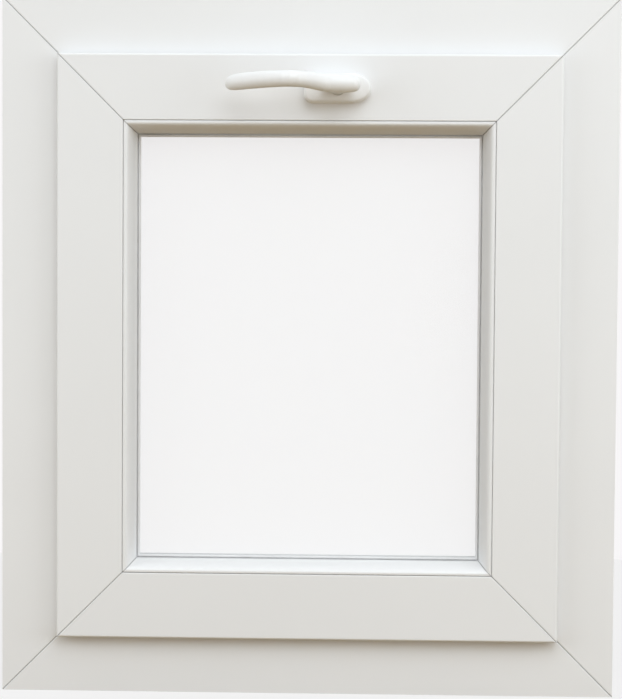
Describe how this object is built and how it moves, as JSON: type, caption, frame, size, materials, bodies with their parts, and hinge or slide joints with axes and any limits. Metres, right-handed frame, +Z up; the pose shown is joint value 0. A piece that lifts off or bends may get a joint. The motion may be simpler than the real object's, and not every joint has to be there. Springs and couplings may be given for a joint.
{
  "type": "tilting window",
  "caption": "White plastic window with a mitred outer frame and an inward-tilting glazed sash, with a curved lever handle at the top, bottom hinges and side stay arms",
  "frame": {"origin": "middle of the sill's underside, at half the depth of the outer frame", "axes": "+X right as seen from the room, +Y outdoors, +Z up"},
  "size_m": [0.6, 0.1571, 0.68],
  "materials": {
    "frame_plastic": "white plastic extrusion, satin",
    "bead_plastic": "white plastic extrusion, satin",
    "handle_white": "white powder coat, satin",
    "gasket_rubber": "light grey rubber",
    "steel_section": "galvanised steel",
    "hardware_steel": "zinc plated steel",
    "cast_zinc": "cast zinc",
    "screw_steel": "bright zinc plate",
    "glass": "clear float glass",
    "spacer_aluminium": "mill aluminium",
    "sealant_black": "black sealant",
    "block_plastic": "hard plastic"
  },
  "bodies": {
    "frame": {"drainage_caps": "frame_plastic", "frame_gasket": "gasket_rubber", "frame_head": "frame_plastic", "frame_jamb_left": "frame_plastic", "frame_jamb_right": "frame_plastic", "frame_reinforcement": "steel_section", "frame_sill": "frame_plastic", "hinge_frame_bracket_left": "hardware_steel", "hinge_frame_bracket_right": "hardware_steel", "hinge_pin_left": "hardware_steel", "hinge_pin_right": "hardware_steel", "hinge_screws_frame": "screw_steel", "keep_screws": "screw_steel", "keeps": "cast_zinc", "stay_pivot_plate_left": "hardware_steel", "stay_pivot_plate_right": "hardware_steel", "stay_screws_frame": "screw_steel"},
    "sash": {"drive_faceplate": "hardware_steel", "faceplate_screws": "screw_steel", "gear_case": "cast_zinc", "glass_edge_seal": "sealant_black", "glass_inner": "glass", "glass_outer": "glass", "glass_spacer": "spacer_aluminium", "glazing_bead_bottom": "bead_plastic", "glazing_bead_left": "bead_plastic", "glazing_bead_right": "bead_plastic", "glazing_bead_top": "bead_plastic", "glazing_gasket_inner": "gasket_rubber", "glazing_gasket_outer": "gasket_rubber", "handle_base": "cast_zinc", "handle_cover": "handle_white", "handle_screws": "screw_steel", "hinge_sash_bracket_left": "hardware_steel", "hinge_sash_bracket_right": "hardware_steel", "hinge_screws_sash": "screw_steel", "sash_bottom_rail": "frame_plastic", "sash_gasket": "gasket_rubber", "sash_gasket_bottom": "gasket_rubber", "sash_reinforcement": "steel_section", "sash_stile_left": "frame_plastic", "sash_stile_right": "frame_plastic", "sash_top_rail": "frame_plastic", "setting_blocks": "block_plastic", "stay_screws_sash": "screw_steel", "stay_track_left": "hardware_steel", "stay_track_right": "hardware_steel"},
    "handle": {"handle_lever": "handle_white", "handle_spindle": "hardware_steel", "pinion": "hardware_steel"},
    "drive": {"drive_rod": "hardware_steel", "locking_cams": "hardware_steel"},
    "stay_left": {"stay_arm_left": "hardware_steel"},
    "stay_right": {"stay_arm_right": "hardware_steel"}
  },
  "joints": [
    {"name": "sash_tilt", "type": "hinge", "parent": "frame", "child": "sash", "pos_m": [0, -0.0255, 0.069], "axis": [1, 0, 0], "range_deg": [0, 12]},
    {"name": "handle_turn", "type": "hinge", "parent": "sash", "child": "handle", "pos_m": [0.027, -0.05, 0.59044], "axis": [0, -1, 0], "range_deg": [0, 90]},
    {"name": "rod_slide", "type": "slide", "parent": "sash", "child": "drive", "axis": [-1, 0, 0], "range_m": [0, 0.0148]},
    {"name": "stay_left", "type": "hinge", "parent": "frame", "child": "stay_left", "pos_m": [-0.232, -0.0255, 0.299], "axis": [1, 0, 0], "range_deg": [0, 24]},
    {"name": "stay_right", "type": "hinge", "parent": "frame", "child": "stay_right", "pos_m": [0.232, -0.0255, 0.299], "axis": [1, 0, 0], "range_deg": [0, 24]}
  ],
  "couplings": [
    {"joint": "rod_slide", "follows": "handle_turn", "m_per_rad": 0.009375},
    {"joint": "stay_left", "follows": "sash_tilt", "ratio": 2},
    {"joint": "stay_right", "follows": "sash_tilt", "ratio": 2}
  ]
}
